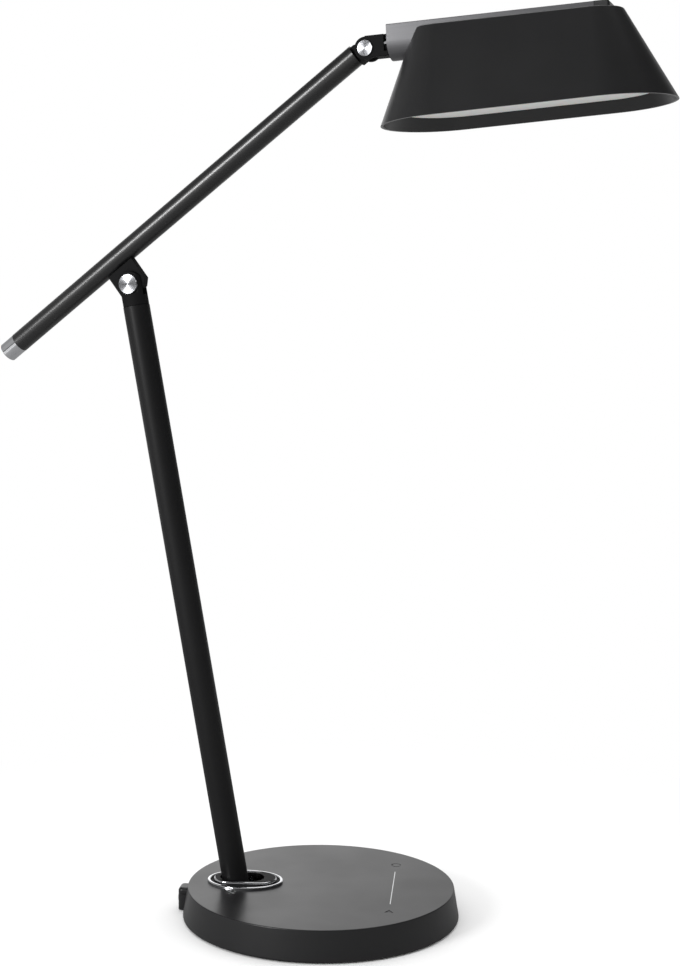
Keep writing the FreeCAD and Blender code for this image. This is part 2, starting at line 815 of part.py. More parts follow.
def inlet():
    body = new_body("port_housing")
    outline = new_sketch(body, "XY_Plane", z=plate_top)
    rectangle(outline, d.port_depth, d.port_width, d.port_depth / 2 - port_reach, 0)
    pad(body, outline, port_top - plate_top)
    apron = new_sketch(body, "XY_Plane", z=d.foot_thickness)
    apron_depth = port_reach - plate_radius - d.plate_gap
    rectangle(apron, apron_depth, d.port_width, apron_depth / 2 - port_reach, 0)
    solid = pad(body, apron, port_top - d.foot_thickness)
    outer = -port_reach.number

    def upright_outer(edge):
        box = edge.BoundBox
        return abs(box.XMin - outer) < 1e-4 and abs(box.XMax - outer) < 1e-4 and box.ZLength > 1

    def front_top(edge):
        box = edge.BoundBox
        outside = box.XMax < -d.base_bottom_radius.number + 1e-4
        return outside and abs(box.ZMin - port_top.number) < 1e-4

    rounded = fillet(body, solid, d.port_round, upright_outer)
    fillet(body, rounded, d.port_crown, front_top)
    groove = new_sketch(body, "YZ_Plane", z=-port_reach)
    groove_z = port_top - d.port_groove_drop
    for side in (-1, 1):
        rectangle(groove, d.port_groove_depth * 2, d.port_groove_height, d.port_width / 2 * side, groove_z)
    pocket(body, groove, d.port_depth, reverse=True)
    hole = new_sketch(body, "YZ_Plane", z=-port_reach)
    circle(hole, d.inlet_radius + d.screw_gap, 0, d.inlet_height)
    pocket(body, hole, d.port_depth, reverse=True)
    keep(body, "port_housing", base_frame)
    socket = rod(d.inlet_radius, d.inlet_length, -port_reach, 0, d.inlet_height, x_axis)
    bore = rod(d.inlet_bore_radius, d.inlet_bore_depth, -port_reach, 0, d.inlet_height, x_axis)
    pin_start = d.inlet_bore_depth - d.inlet_pin_length - port_reach
    pin_reach = d.inlet_pin_length + d.inlet_pin_root
    pin = rod(d.inlet_pin_radius, pin_reach, pin_start, 0, d.inlet_height, x_axis)
    keep(fuse([cut(socket, bore), pin]), "dc_inlet", base_frame)


# Tilt pivot: a yoke on the base plate carries the pin that the lower arm's foot turns on

cheek_inner = d.tilt_tongue_width / 2 + d.washer_gap * 2 + d.tilt_washer
cheek_outer = cheek_inner + d.cheek_thickness
flange_top = plate_top + d.flange_thickness
rivet_places = []
for side_x in (-1, 1):
    for side_y in (-1, 1):
        rivet_places.append((tilt_x + d.rivet_pitch_x / 2 * side_x, d.rivet_pitch_y / 2 * side_y))


def tilt_pivot():
    body = new_body("tilt_yoke")
    flange = new_sketch(body, "XY_Plane", z=plate_top)
    rectangle(flange, d.flange_length, d.flange_width, tilt_x, 0)
    pad(body, flange, d.flange_thickness)
    for start, reverse in ((cheek_inner, True), (-cheek_inner, False)):
        cheek = new_sketch(body, "XZ_Plane", x=tilt_x, z=-start)
        arch(cheek, d.cheek_radius, plate_top, d.tilt_height)
        pad(body, cheek, d.cheek_thickness, reverse=reverse)
    bore = new_sketch(body, "XZ_Plane")
    circle(bore, d.pin_radius + d.running_gap, tilt_x, d.tilt_height)
    pocket(body, bore, cheek_outer * 2, symmetric=True)
    holes = new_sketch(body, "XY_Plane", z=plate_top)
    for x, y in rivet_places:
        circle(holes, d.rivet_radius + d.screw_gap, x, y)
    pocket(body, holes, d.flange_thickness, reverse=True)
    keep(body, "tilt_yoke", base_frame)
    rivets = []
    for x, y in rivet_places:
        shank = rod(d.rivet_radius, flange_top - d.foot_thickness, x, y, d.foot_thickness)
        rivets.append(fuse([shank, rod(d.rivet_head_radius, d.rivet_head_height, x, y, flange_top)]))
    keep(group(rivets), "yoke_rivets", base_frame)
    shank_length = cheek_outer * 2 + d.nut_height + d.pin_tail
    shank = rod(d.pin_radius, shank_length, tilt_x, -cheek_outer, d.tilt_height, y_axis)
    head = rod(d.pin_head_radius, d.pin_head_height, tilt_x, -cheek_outer - d.pin_head_height,
               d.tilt_height, y_axis)
    keep(fuse([head, shank]), "tilt_pin", base_frame)
    nut_body = new_body("tilt_nut")
    outline = new_sketch(nut_body, "XZ_Plane", x=tilt_x, y=d.tilt_height, z=-cheek_outer)
    corners = []
    for index in range(6):
        angle = math.radians(60 * index)
        corners.append((d.nut_radius * math.cos(angle), d.nut_radius * math.sin(angle)))
    corners[0] = (d.nut_radius, 0)
    corners[3] = (-d.nut_radius, 0)
    polygon(outline, corners)
    circle(outline, d.pin_radius + d.running_gap)
    pad(nut_body, outline, d.nut_height, reverse=True)
    keep(nut_body, "tilt_nut", base_frame)
    pair = []
    bore_radius = d.pin_radius + d.running_gap
    for start in (d.tilt_tongue_width / 2 + d.washer_gap, d.washer_gap - cheek_inner):
        pair.append(washer(d.tilt_tongue_radius, bore_radius, d.tilt_washer, tilt_x, start,
                           d.tilt_height, y_axis))
    keep(group(pair), "tilt_washers", base_frame)


# Lower arm: its frame has the tilt pin at the origin and +Z along the tube

lower_bore = d.lower_tube_radius - d.lower_tube_wall
lower_tube_end = d.arm_length - d.tube_drop
bush_start = lower_tube_end - d.bush_length


def lower_arm():
    round_bar("lower_tube", lower_frame, "XY_Plane", d.lower_tube_radius, lower_bore,
              d.lower_tube_start, lower_tube_end - d.lower_tube_start)
    body = new_body("foot_knuckle")
    tongue = new_sketch(body, "XZ_Plane")
    shoulder_start = d.lower_tube_start - d.foot_shoulder
    arch(tongue, d.tilt_tongue_radius, shoulder_start, 0)
    pad(body, tongue, d.tilt_tongue_width, symmetric=True)
    shoulder = new_sketch(body, "XY_Plane", z=shoulder_start)
    circle(shoulder, d.lower_tube_radius)
    pad(body, shoulder, d.foot_shoulder)
    spigot = new_sketch(body, "XY_Plane", z=d.lower_tube_start)
    circle(spigot, lower_bore - d.seat_gap)
    pad(body, spigot, d.foot_spigot)
    bore = new_sketch(body, "XZ_Plane")
    circle(bore, d.pin_radius + d.running_gap)
    pocket(body, bore, d.tilt_tongue_width, symmetric=True)
    keep(body, "foot_knuckle", lower_frame)
    round_bar("swivel_bush", lower_frame, "XY_Plane", lower_bore - d.seat_gap,
              d.spigot_radius + d.running_gap, bush_start, d.bush_length)
    lead_start = d.lower_tube_start + d.foot_spigot + d.lead_end_room / 4
    lead_end = bush_start - d.spigot_tail - d.ring_thickness - d.lead_end_room
    lead_x = d.lead_radius + d.lead_gap - lower_bore
    round_bar("lower_lead", lower_frame, "XY_Plane", d.lead_radius, None, lead_start,
              lead_end - lead_start, x=lead_x)


# Elbow fork: its frame has the elbow pivot at the origin and +Z along the lower arm

fork_bottom = d.swivel_gap - d.tube_drop
groove_top = -d.tube_drop - d.bush_length - d.ring_gap
groove_bottom = groove_top - d.ring_thickness - d.ring_gap
barrel_bore = d.elbow_barrel_radius + d.running_gap


def disc_bolt(label, frame, disc, height, thread, face, depth):
    # Turned disc head and threaded shank, entering from -Y
    body = new_body(label)
    head = new_sketch(body, "XZ_Plane", z=face)
    circle(head, disc)
    solid = pad(body, head, height)
    fillet(body, solid, d.disc_round, round_edge_at(disc, -face - height, y_axis))
    shank = new_sketch(body, "XZ_Plane", z=face)
    circle(shank, thread)
    pad(body, shank, depth, reverse=True)
    keep(body, label, frame)


def disc_nut(label, frame, disc, height, barrel, thread, face, depth):
    # Turned disc head and threaded barrel, entering from +Y. The barrel is the pivot
    body = new_body(label)
    head = new_sketch(body, "XZ_Plane", z=-face)
    circle(head, disc)
    solid = pad(body, head, height, reverse=True)
    fillet(body, solid, d.disc_round, round_edge_at(disc, face + height, y_axis))
    sleeve = new_sketch(body, "XZ_Plane", z=-face)
    circle(sleeve, barrel)
    pad(body, sleeve, face * 2 - d.barrel_end_gap)
    bore = new_sketch(body, "XZ_Plane", z=face)
    circle(bore, thread + d.screw_gap)
    pocket(body, bore, depth + d.barrel_end_gap)
    keep(body, label, frame)


def elbow():
    body = new_body("elbow_fork")
    stem = new_sketch(body, "XY_Plane", z=fork_bottom)
    circle(stem, d.fork_radius)
    pad(body, stem, d.fork_radius - fork_bottom)
    flats = new_sketch(body, "XY_Plane", z=-d.fork_flat_drop)
    for side in (-1, 1):
        rectangle(flats, d.fork_radius * 4, d.fork_radius, 0, (d.fork_flat + d.fork_radius) / 2 * side)
    pocket(body, flats, d.fork_flat_drop + d.fork_radius * 2, reverse=True)
    crown = new_sketch(body, "XZ_Plane")
    arch(crown, d.fork_radius, d.fork_radius * 2, 0, hollow=True)
    domed = pocket(body, crown, d.fork_radius * 4, symmetric=True)
    front_crown = round_edge_at(d.fork_radius, -d.fork_flat / 2, y_axis)
    rear_crown = round_edge_at(d.fork_radius, d.fork_flat / 2, y_axis)
    fillet(body, domed, d.fork_round, lambda edge: front_crown(edge) or rear_crown(edge))
    slot = new_sketch(body, "XZ_Plane")
    slot_drop = d.lug_length / 2 + d.fork_slot_room
    arch(slot, slot_drop, d.fork_radius * 2, 0)
    pocket(body, slot, d.fork_slot, symmetric=True)
    # The lug's tail swings down to the rear, where the slot is square
    relief = new_sketch(body, "XZ_Plane")
    rectangle(relief, d.fork_radius * 2, slot_drop, -d.fork_radius, -slot_drop / 2)
    pocket(body, relief, d.fork_slot, symmetric=True)
    steps = [(d.spigot_radius, fork_bottom, groove_top),
             (d.ring_groove_radius, groove_top, groove_bottom),
             (d.spigot_radius, groove_bottom, groove_bottom - d.spigot_tail)]
    for radius, top, bottom in steps:
        step = new_sketch(body, "XY_Plane", z=top)
        circle(step, radius)
        pad(body, step, top - bottom, reverse=True)
    bore = new_sketch(body, "XZ_Plane")
    circle(bore, barrel_bore)
    pocket(body, bore, d.fork_flat, symmetric=True)
    keep(body, "elbow_fork", fork_frame)
    ring_z = groove_top - d.ring_gap / 2 - d.ring_thickness
    round_bar("swivel_ring", fork_frame, "XY_Plane", d.swivel_ring_radius,
              d.ring_groove_radius + d.seat_gap, ring_z, d.ring_thickness)
    face = d.fork_flat / 2
    disc_bolt("elbow_bolt", fork_frame, d.elbow_disc_radius, d.elbow_disc_height,
              d.elbow_thread_radius, face, d.thread_depth)
    disc_nut("elbow_nut", fork_frame, d.elbow_disc_radius, d.elbow_disc_height, d.elbow_barrel_radius,
             d.elbow_thread_radius, face, d.thread_depth)
    pair = []
    for start in (-d.fork_slot / 2 + d.washer_gap, d.fork_slot / 2 - d.washer_gap - d.elbow_washer):
        pair.append(washer(d.elbow_washer_radius, barrel_bore, d.elbow_washer, 0, start, 0, y_axis))
    keep(group(pair), "elbow_washers", fork_frame)


# Upper arm: its frame has the elbow pivot at the origin and +X along the tube

lug_thickness = d.fork_slot - (d.elbow_washer + d.washer_gap * 2) * 2
upper_bore = d.upper_tube_radius - d.upper_tube_wall
upper_tube_end = d.head_reach - d.knuckle_radius - d.knuckle_end_gap
tongue_thickness = d.knuckle_slot - (d.head_washer + d.washer_gap * 2) * 2
peg_top = d.upper_axis_rise - upper_bore + d.peg_rise


def upper_arm():
    body = round_bar("upper_tube", upper_frame, "YZ_Plane", d.upper_tube_radius, upper_bore,
                     -d.tube_tail, d.tube_tail + upper_tube_end, y=d.upper_axis_rise)
    lug_base = d.upper_axis_rise - d.upper_tube_radius
    holes = new_sketch(body, "XY_Plane", z=lug_base - d.peg_rise)
    for side in (-1, 1):
        circle(holes, d.peg_radius + d.screw_gap, d.peg_pitch / 2 * side, 0)
    pocket(body, holes, d.upper_tube_radius, reverse=True)

    body = new_body("elbow_lug")
    plate = new_sketch(body, "XZ_Plane")
    half = d.lug_length / 2
    plate_top_z = d.upper_axis_rise - upper_bore
    polygon(plate, [(-half, plate_top_z), (-half, d.lug_corner - d.lug_drop),
                    (d.lug_corner - half, -d.lug_drop), (half - d.lug_corner, -d.lug_drop),
                    (half, d.lug_corner - d.lug_drop), (half, plate_top_z)])
    slab = pad(body, plate, lug_thickness, symmetric=True)
    side = lug_thickness.number / 2

    def side_edges(edge):
        box = edge.BoundBox
        flat = box.YLength < 1e-4 and abs(abs(box.YMin) - side) < 1e-4
        return flat and box.ZMin < plate_top_z.number - 1e-4

    fillet(body, slab, d.lug_round, side_edges)
    saddle = new_sketch(body, "YZ_Plane", y=d.upper_axis_rise)
    circle(saddle, d.upper_tube_radius + d.saddle_gap)
    pocket(body, saddle, d.lug_length, symmetric=True)
    pegs = new_sketch(body, "XY_Plane", z=lug_base - d.peg_radius)
    for side in (-1, 1):
        circle(pegs, d.peg_radius, d.peg_pitch / 2 * side, 0)
    pad(body, pegs, peg_top - lug_base + d.peg_radius)
    bore = new_sketch(body, "XZ_Plane")
    circle(bore, barrel_bore)
    pocket(body, bore, lug_thickness, symmetric=True)
    keep(body, "elbow_lug", upper_frame)

    body = new_body("tail_cap")
    cap = new_sketch(body, "YZ_Plane", y=d.upper_axis_rise, z=-d.tube_tail)
    circle(cap, d.tail_cap_radius)
    solid = pad(body, cap, d.tail_cap_length, reverse=True)
    end = -d.tube_tail - d.tail_cap_length
    fillet(body, solid, d.tail_cap_round, round_edge_at(d.tail_cap_radius, end, x_axis))
    spigot = new_sketch(body, "YZ_Plane", y=d.upper_axis_rise, z=-d.tube_tail)
    circle(spigot, upper_bore - d.seat_gap)
    pad(body, spigot, d.tail_spigot)
    keep(body, "tail_cap", upper_frame)

    body = new_body("head_tongue")
    spigot = new_sketch(body, "YZ_Plane", y=d.upper_axis_rise, z=upper_tube_end)
    circle(spigot, upper_bore - d.seat_gap)
    pad(body, spigot, d.tongue_spigot, reverse=True)
    web = new_sketch(body, "XZ_Plane")
    neck_top = d.upper_axis_rise + d.tongue_neck_height
    polygon(web, [(upper_tube_end, head_pivot_rise - d.tongue_radius),
                  (d.head_reach, head_pivot_rise - d.tongue_radius),
                  (d.head_reach, head_pivot_rise + d.tongue_radius),
                  (upper_tube_end + d.tongue_neck, neck_top), (upper_tube_end, neck_top)])
    pad(body, web, tongue_thickness, symmetric=True)
    eye = new_sketch(body, "XZ_Plane")
    circle(eye, d.tongue_radius, d.head_reach, head_pivot_rise)
    pad(body, eye, tongue_thickness, symmetric=True)
    bore = new_sketch(body, "XZ_Plane")
    circle(bore, d.head_barrel_radius + d.running_gap, d.head_reach, head_pivot_rise)
    pocket(body, bore, tongue_thickness, symmetric=True)
    keep(body, "head_tongue", upper_frame)

    lead_start = d.lug_length / 2
    lead_end = upper_tube_end - d.tongue_spigot - d.lead_end_room / 4
    lead_z = d.upper_axis_rise - upper_bore + d.lead_radius + d.lead_gap
    round_bar("upper_lead", upper_frame, "YZ_Plane", d.lead_radius, None, lead_start,
              lead_end - lead_start, y=lead_z)


# Knuckle: its frame has the head pivot at the origin and +X along the roll axis

spine_rear = d.knuckle_front + d.roll_gap
spine_front = spine_rear + d.spine_length
pin_y = d.stop_pin_circle * cosine(d.stop_pin_angle)
pin_z = d.stop_pin_circle * sine(d.stop_pin_angle)


def knuckle():
    body = new_body("Knuckle")
    side_view = new_sketch(body, "XZ_Plane")
    rectangle(side_view, d.knuckle_front, d.knuckle_rise + d.knuckle_drop, d.knuckle_front / 2,
              (d.knuckle_rise - d.knuckle_drop) / 2)
    nose = pad(body, side_view, d.knuckle_width, symmetric=True)
    side = d.knuckle_width.number / 2

    def side_edges(edge):
        box = edge.BoundBox
        flat = box.YLength < 1e-4 and abs(abs(box.YMin) - side) < 1e-4
        return flat and box.XMax > 1e-4

    fillet(body, nose, d.knuckle_round, side_edges)
    ears = new_sketch(body, "XZ_Plane")
    circle(ears, d.knuckle_radius)
    pad(body, ears, d.knuckle_width, symmetric=True)
    slot = new_sketch(body, "XZ_Plane")
    slot_length = d.knuckle_slot_reach + d.knuckle_radius * 2
    rectangle(slot, slot_length, d.knuckle_radius * 4, d.knuckle_slot_reach - slot_length / 2, 0)
    pocket(body, slot, d.knuckle_slot, symmetric=True)
    bore = new_sketch(body, "XZ_Plane")
    circle(bore, d.head_barrel_radius + d.running_gap)
    pocket(body, bore, d.knuckle_width, symmetric=True)
    socket = new_sketch(body, "YZ_Plane", z=d.knuckle_front)
    circle(socket, d.shaft_radius + d.press_gap)
    pocket(body, socket, d.shaft_seat + d.ring_gap)
    sector = doc.addObject("Part::Cylinder", "Sector")
    sector.setExpression("Radius", d.notch_outer_radius.text)
    sector.setExpression("Height", (d.notch_depth * 2).text)
    sector.setExpression("Angle", (d.notch_half_angle * 2).text)
    # The sector opens about the stop pin: turned about X, its first side lies half the angle before
    start_angle = d.stop_pin_angle.number - d.notch_half_angle.number
    upright = FreeCAD.Rotation(y_axis, z_axis, x_axis, "ZXY")
    sector.Placement = FreeCAD.Placement(
        FreeCAD.Vector((d.knuckle_front - d.notch_depth).number, 0, 0),
        FreeCAD.Rotation(x_axis, start_angle) * upright)
    core = rod(d.notch_inner_radius, d.notch_depth * 2, d.knuckle_front - d.notch_depth, 0, 0, x_axis)
    keep(cut(body, cut(sector, core)), "head_knuckle", head_frame)
    face = d.knuckle_width / 2
    disc_bolt("head_bolt", head_frame, d.head_disc_radius, d.head_disc_height, d.head_thread_radius,
              face, d.thread_depth)
    disc_nut("head_nut", head_frame, d.head_disc_radius, d.head_disc_height, d.head_barrel_radius,
             d.head_thread_radius, face, d.thread_depth)
    pair = []
    for start in (-d.knuckle_slot / 2 + d.washer_gap, d.knuckle_slot / 2 - d.washer_gap - d.head_washer):
        pair.append(washer(d.head_washer_radius, d.head_barrel_radius + d.running_gap, d.head_washer,
                           0, start, 0, y_axis))
    keep(group(pair), "head_washers", head_frame)
    shaft_start = d.knuckle_front - d.shaft_seat
    round_bar("roll_shaft", head_frame, "YZ_Plane", d.shaft_radius, None, shaft_start, d.shaft_length)
    ring_x = spine_rear + d.plug_length + d.ring_gap
    round_bar("roll_ring", head_frame, "YZ_Plane", d.roll_ring_radius, d.shaft_radius + d.press_gap,
              ring_x, d.roll_ring_thickness)


# Head: its frame is the knuckle's, rolled a little about X

front_boss = spine_front - d.cap_plug - d.boss_setback
boss_places = [front_boss - d.boss_pitch, front_boss]


def spine_section(sketch, inset):
    arch(sketch, d.spine_half_width - inset, d.spine_top - inset, d.spine_centre)


def head_spine():
    body = new_body("spine")
    outline = new_sketch(body, "YZ_Plane", z=spine_rear)
    spine_section(outline, 0)
    spine_section(outline, d.spine_wall)
    profile = pad(body, outline, d.spine_length)
    top = d.spine_top.number

    def top_edges(edge):
        box = edge.BoundBox
        return abs(box.ZMin - top) < 1e-4 and box.ZLength < 1e-4 and box.YLength < 1e-4

    fillet(body, profile, d.spine_round, top_edges)
    holes = new_sketch(body, "XY_Plane", z=d.spine_centre)
    for x in boss_places:
        circle(holes, d.tray_screw_radius + d.running_gap, x, 0)
    pocket(body, holes, d.spine_half_width * 2)
    keep(body, "spine", roll_frame)

    body = new_body("spine_plug")
    filling = new_sketch(body, "YZ_Plane", z=spine_rear)
    spine_section(filling, d.spine_wall + d.seat_gap)
    pad(body, filling, d.plug_length)
    bore = new_sketch(body, "YZ_Plane", z=spine_rear)
    circle(bore, d.shaft_radius + d.running_gap)
    pocket(body, bore, d.plug_length, reverse=True)
    seat = new_sketch(body, "YZ_Plane", z=spine_rear)
    circle(seat, d.stop_pin_radius + d.press_gap, pin_y, pin_z)
    pocket(body, seat, d.stop_pin_seat, reverse=True)
    keep(body, "spine_plug", roll_frame)
    round_bar("stop_pin", roll_frame, "YZ_Plane", d.stop_pin_radius, None, spine_rear - d.stop_pin_reach,
              d.stop_pin_reach + d.stop_pin_seat, pin_y, pin_z)

    body = new_body("spine_end_cap")
    cap = new_sketch(body, "YZ_Plane", z=spine_front)
    spine_section(cap, 0)
    solid = pad(body, cap, d.cap_length)
    end = (spine_front + d.cap_length).number

    def end_edges(edge):
        box = edge.BoundBox
        return abs(box.XMin - end) < 1e-4 and abs(box.XMax - end) < 1e-4

    fillet(body, solid, d.cap_round, end_edges)
    plug = new_sketch(body, "YZ_Plane", z=spine_front)
    spine_section(plug, d.spine_wall + d.seat_gap)
    pad(body, plug, d.cap_plug, reverse=True)
    keep(body, "spine_end_cap", roll_frame)


def tray_level(x):
    # Height of the tray's upper face under the point x of the spine
    lift = (d.diffuser_recess + d.diffuser_thickness + d.diffuser_wall_height + d.tray_thickness)
    return (x - d.rim_x) * tangent(d.rim_tilt_angle) + lift / cosine(d.rim_tilt_angle) - d.rim_drop


def shade():
    body = new_body("shade")
    top = new_sketch(body, "XY_Plane", x=d.shade_top_x, z=d.shade_top)
    stadium(top, d.shade_top_length, d.shade_top_width)
    rim = new_sketch(body, "XY_Plane", x=d.rim_x, z=-d.rim_drop, tilt=-d.rim_tilt_angle)
    stadium(rim, d.rim_length, d.rim_width)
    outer = loft(body, "AdditiveLoft", top, rim)
    fillet(body, outer, d.shade_top_round, flat_edge_at(d.shade_top))
    inner_top = new_sketch(body, "XY_Plane", x=d.shade_top_x, z=d.shade_top - d.shade_roof)
    stadium(inner_top, d.shade_top_length - d.shade_wall * 2, d.shade_top_width - d.shade_wall * 2)
    inner_rim = new_sketch(body, "XY_Plane", x=d.rim_x, z=-d.rim_drop, tilt=-d.rim_tilt_angle)
    stadium(inner_rim, d.rim_length - d.shade_wall * 2, d.rim_width - d.shade_wall * 2)
    loft(body, "SubtractiveLoft", inner_top, inner_rim)
    trough_half = d.spine_half_width + d.spine_fit + d.trough_wall
    trough_end = d.shade_top_x + (d.shade_top_length - d.shade_top_width) / 2
    trough = new_sketch(body, "YZ_Plane", z=d.trough_start)
    arch(trough, trough_half, d.shade_top - d.shade_roof / 2, d.spine_centre)
    pad(body, trough, trough_end - d.trough_start)
    boss_top = d.spine_centre - d.spine_half_width - d.spine_fit - d.trough_wall / 2
    for x in boss_places:
        boss = new_sketch(body, "XY_Plane", x=x, z=boss_top)
        circle(boss, d.boss_radius)
        pad(body, boss, boss_top - tray_level(x) - d.boss_gap, reverse=True)
    channel = new_sketch(body, "YZ_Plane")
    arch(channel, d.spine_half_width + d.spine_fit, d.spine_top * 2, d.spine_centre)
    pocket(body, channel, spine_front + d.cap_length + d.spine_fit, reverse=True)
    bores = new_sketch(body, "XY_Plane", z=d.spine_centre)
    for x in boss_places:
        circle(bores, d.tray_screw_radius + d.tray_screw_gap, x, 0)
    pocket(body, bores, d.rim_drop)
    keep(body, "shade", roll_frame)


# Light: its frame has the middle of the shade's rim at the origin and +Z square to the rim

light_length = d.diffuser_length - d.light_inset * 2
light_width = d.diffuser_width - d.light_inset * 2
wall_start = d.diffuser_recess + d.diffuser_thickness
tray_under = wall_start + d.diffuser_wall_height
board_start = tray_under - d.led_board_thickness


def light():
    body = new_body("diffuser")
    flange = new_sketch(body, "XY_Plane", x=d.diffuser_x, z=d.diffuser_recess)
    stadium(flange, d.diffuser_length, d.diffuser_width)
    pad(body, flange, d.diffuser_thickness)
    wall = new_sketch(body, "XY_Plane", x=d.diffuser_x, z=wall_start)
    stadium(wall, light_length, light_width)
    stadium(wall, light_length - d.diffuser_wall * 2, light_width - d.diffuser_wall * 2)
    pad(body, wall, d.diffuser_wall_height)
    keep(body, "diffuser", light_frame)

    screw_places = [x - d.rim_x + screw_lean for x in boss_places]
    body = new_body("led_tray")
    plate = new_sketch(body, "XY_Plane", x=d.diffuser_x, z=tray_under)
    stadium(plate, light_length, light_width)
    pad(body, plate, d.tray_thickness)
    holes = new_sketch(body, "XY_Plane", z=tray_under)
    for x in screw_places:
        circle(holes, d.tray_screw_radius + d.tray_screw_gap, x, 0)
    pocket(body, holes, d.tray_thickness, reverse=True)
    keep(body, "led_tray", light_frame)

    body = new_body("led_board")
    plate = new_sketch(body, "XY_Plane", z=board_start)
    rectangle(plate, d.led_board_length, d.led_board_width)
    pad(body, plate, d.led_board_thickness)
    holes = new_sketch(body, "XY_Plane", z=board_start)
    for x in screw_places:
        circle(holes, d.tray_screw_head_radius + d.tray_screw_gap * 2, x, 0)
    pocket(body, holes, d.led_board_thickness, reverse=True)
    keep(body, "led_board", light_frame)

    chips = []
    first_x = d.led_pitch * (1 - leds_per_row) / 2
    for side in (-1, 1):
        for index in range(leds_per_row):
            chips.append(block(d.led_length, d.led_width, d.led_height, first_x + d.led_pitch * index,
                               d.led_row_pitch / 2 * side, board_start - d.led_height))
    keep(group(chips), "leds", light_frame)

    parts = []
    for x in boss_places:
        head_top = tray_level(x) - d.tray_thickness / cosine(d.rim_tilt_angle) - d.boss_gap
        shank_top = d.spine_centre - d.spine_half_width + d.tray_screw_grip
        head = rod(d.tray_screw_head_radius, d.tray_screw_head_height, x, 0,
                   head_top - d.tray_screw_head_height)
        parts.append(fuse([head, rod(d.tray_screw_radius, shank_top - head_top, x, 0, head_top)]))
    keep(group(parts), "tray_screws", roll_frame)


# The screws stand square to the spine, so they cross the tilted tray a little off their middle
screw_lean = tray_under * sine(d.rim_tilt_angle)

base_shell()
base_plate()
base_weight()
round_bar("foot_pad", base_frame, "XY_Plane", d.base_bottom_radius - d.foot_inset, None, 0,
          d.foot_thickness)
screws("base_screws", shell_posts)
screws("weight_screws", weight_posts)
slot_trim()
touch_controls()
inlet()
tilt_pivot()
lower_arm()
elbow()
upper_arm()
knuckle()
head_spine()
shade()
light()
doc.recompute()

for obj in doc.Objects:
    if "Invalid" in obj.State or "Error" in obj.State:
        raise ValueError("%s failed: %s" % (obj.Label, obj.State))
for label, obj in nodes.items():
    if obj.Shape.isNull() or not obj.Shape.isValid() or not obj.Shape.Solids:
        raise ValueError("%s has no sound solid" % label)

os.makedirs("parts", exist_ok=True)
for label, obj in nodes.items():
    obj.Shape.exportStep("parts/%s.step" % label)
    print(label, len(obj.Shape.Solids), "solids, volume %.1f" % obj.Shape.Volume)

joints = [("tilt", lower_frame, y_axis), ("swivel", fork_frame, z_axis), ("elbow", upper_frame, y_axis),
          ("head tilt", head_frame, y_axis), ("head roll", head_frame, x_axis)]
for name, frame, axis in joints:
    direction = frame.Rotation.multVec(axis)
    print(name, "at", [round(value, 4) for value in frame.Base],
          "along", [round(value, 6) for value in direction])
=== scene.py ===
import json
import math

import bpy
from mathutils import Matrix, Vector

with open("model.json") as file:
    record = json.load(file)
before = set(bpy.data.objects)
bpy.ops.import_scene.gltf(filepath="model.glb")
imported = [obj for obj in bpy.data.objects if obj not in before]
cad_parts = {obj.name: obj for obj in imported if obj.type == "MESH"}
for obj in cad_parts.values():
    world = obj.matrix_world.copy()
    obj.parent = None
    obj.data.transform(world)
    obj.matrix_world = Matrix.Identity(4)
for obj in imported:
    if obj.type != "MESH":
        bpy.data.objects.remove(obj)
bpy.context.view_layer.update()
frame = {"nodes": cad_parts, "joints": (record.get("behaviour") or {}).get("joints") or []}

nodes = frame["nodes"]
joints = {joint["name"]: joint for joint in frame["joints"]}
print("frame loaded:", len(nodes), "nodes")

# sockets of the Mix node, for colours and for plain numbers
mixFactor, mixFirst, mixSecond, mixResult = 0, 6, 7, 2
numberFirst, numberSecond, numberResult = 2, 3, 0
noiseLow, noiseHigh = 0.3, 0.7  # most of a noise's values lie between these
acrossGrooves = 0.25  # of a turn: light spreads across the grooves and not along them


def mm(value):
    return value * 0.001


def perMm(size):
    # texture scale that makes one cell this many millimetres wide
    return 1.0 / mm(size)


def linear(hexColor, share=1.0):
    # sRGB hex to the linear colour that shaders take, or to a share of it
    channels = [int(hexColor[i:i + 2], 16) / 255 for i in (1, 3, 5)]
    light = [c / 12.92 if c <= 0.04045 else ((c + 0.055) / 1.055) ** 2.4 for c in channels]
    return [c * share for c in light] + [1.0]


def feed(tree, node, inputs):
    # each input gets a link or a fixed value
    for socket, value in inputs.items():
        if isinstance(value, bpy.types.NodeSocket):
            tree.links.new(value, node.inputs[socket])
        else:
            node.inputs[socket].default_value = value


def addNode(tree, kind, inputs=None, **settings):
    made = tree.nodes.new(kind)
    for name, value in settings.items():
        setattr(made, name, value)
    feed(tree, made, inputs or {})
    return made


def newMaterial(name, inputs):
    material = bpy.data.materials.new(name)
    material.use_nodes = True
    tree = material.node_tree
    shader = tree.nodes["Principled BSDF"]
    feed(tree, shader, inputs)
    place = addNode(tree, "ShaderNodeTexCoord").outputs["Object"]
    return material, tree, shader, place


def jointPlace(name):
    return Vector(joints[name]["pos_m"]), Vector(joints[name]["axis"]).normalized()


# the discs' centres and the spine's direction, read from the joints
elbowPlace, elbowAxis = jointPlace("elbow_hinge")
headPlace, headAxis = jointPlace("head_tilt")
spineAxis = jointPlace("head_roll")[1]
headFrame = Matrix((spineAxis, headAxis, spineAxis.cross(headAxis))).transposed()

absLook = {
    "ior": 1.52,
    "grainMm": 0.45,  # coarser than the mould's real grain, so that it shows
    "grainDepthMm": 0.03,
    "grainTones": (0.8, 1.2),  # shares of the colour
    "driftMm": 34,  # slow change of the sheen
    "drift": 0.025,  # of the roughness, down and up
}


